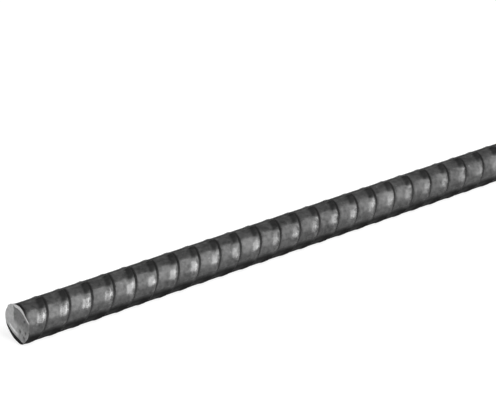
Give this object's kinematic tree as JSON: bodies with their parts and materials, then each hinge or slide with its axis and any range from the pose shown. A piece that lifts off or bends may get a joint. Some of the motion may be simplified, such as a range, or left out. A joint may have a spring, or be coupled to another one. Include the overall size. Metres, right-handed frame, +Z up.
{
  "type": "reinforcing bar",
  "caption": "Straight deformed steel reinforcing bar lying level, with two lengthwise ribs, one end as a shear leaves it and the other cut square.",
  "frame": {"origin": "on the floor, under the middle of the bar", "axes": "+X along the bar from its sheared end to its square-cut end, +Y to the back, +Z up"},
  "size_m": [0.6096, 0.0126, 0.0127],
  "materials": {
    "mill_scale_steel": "hot-rolled carbon steel under a dark grey, finely mottled mill scale, dull with soft highlights"
  },
  "bodies": {
    "root": {"rebar": "mill_scale_steel"}
  },
  "joints": []
}
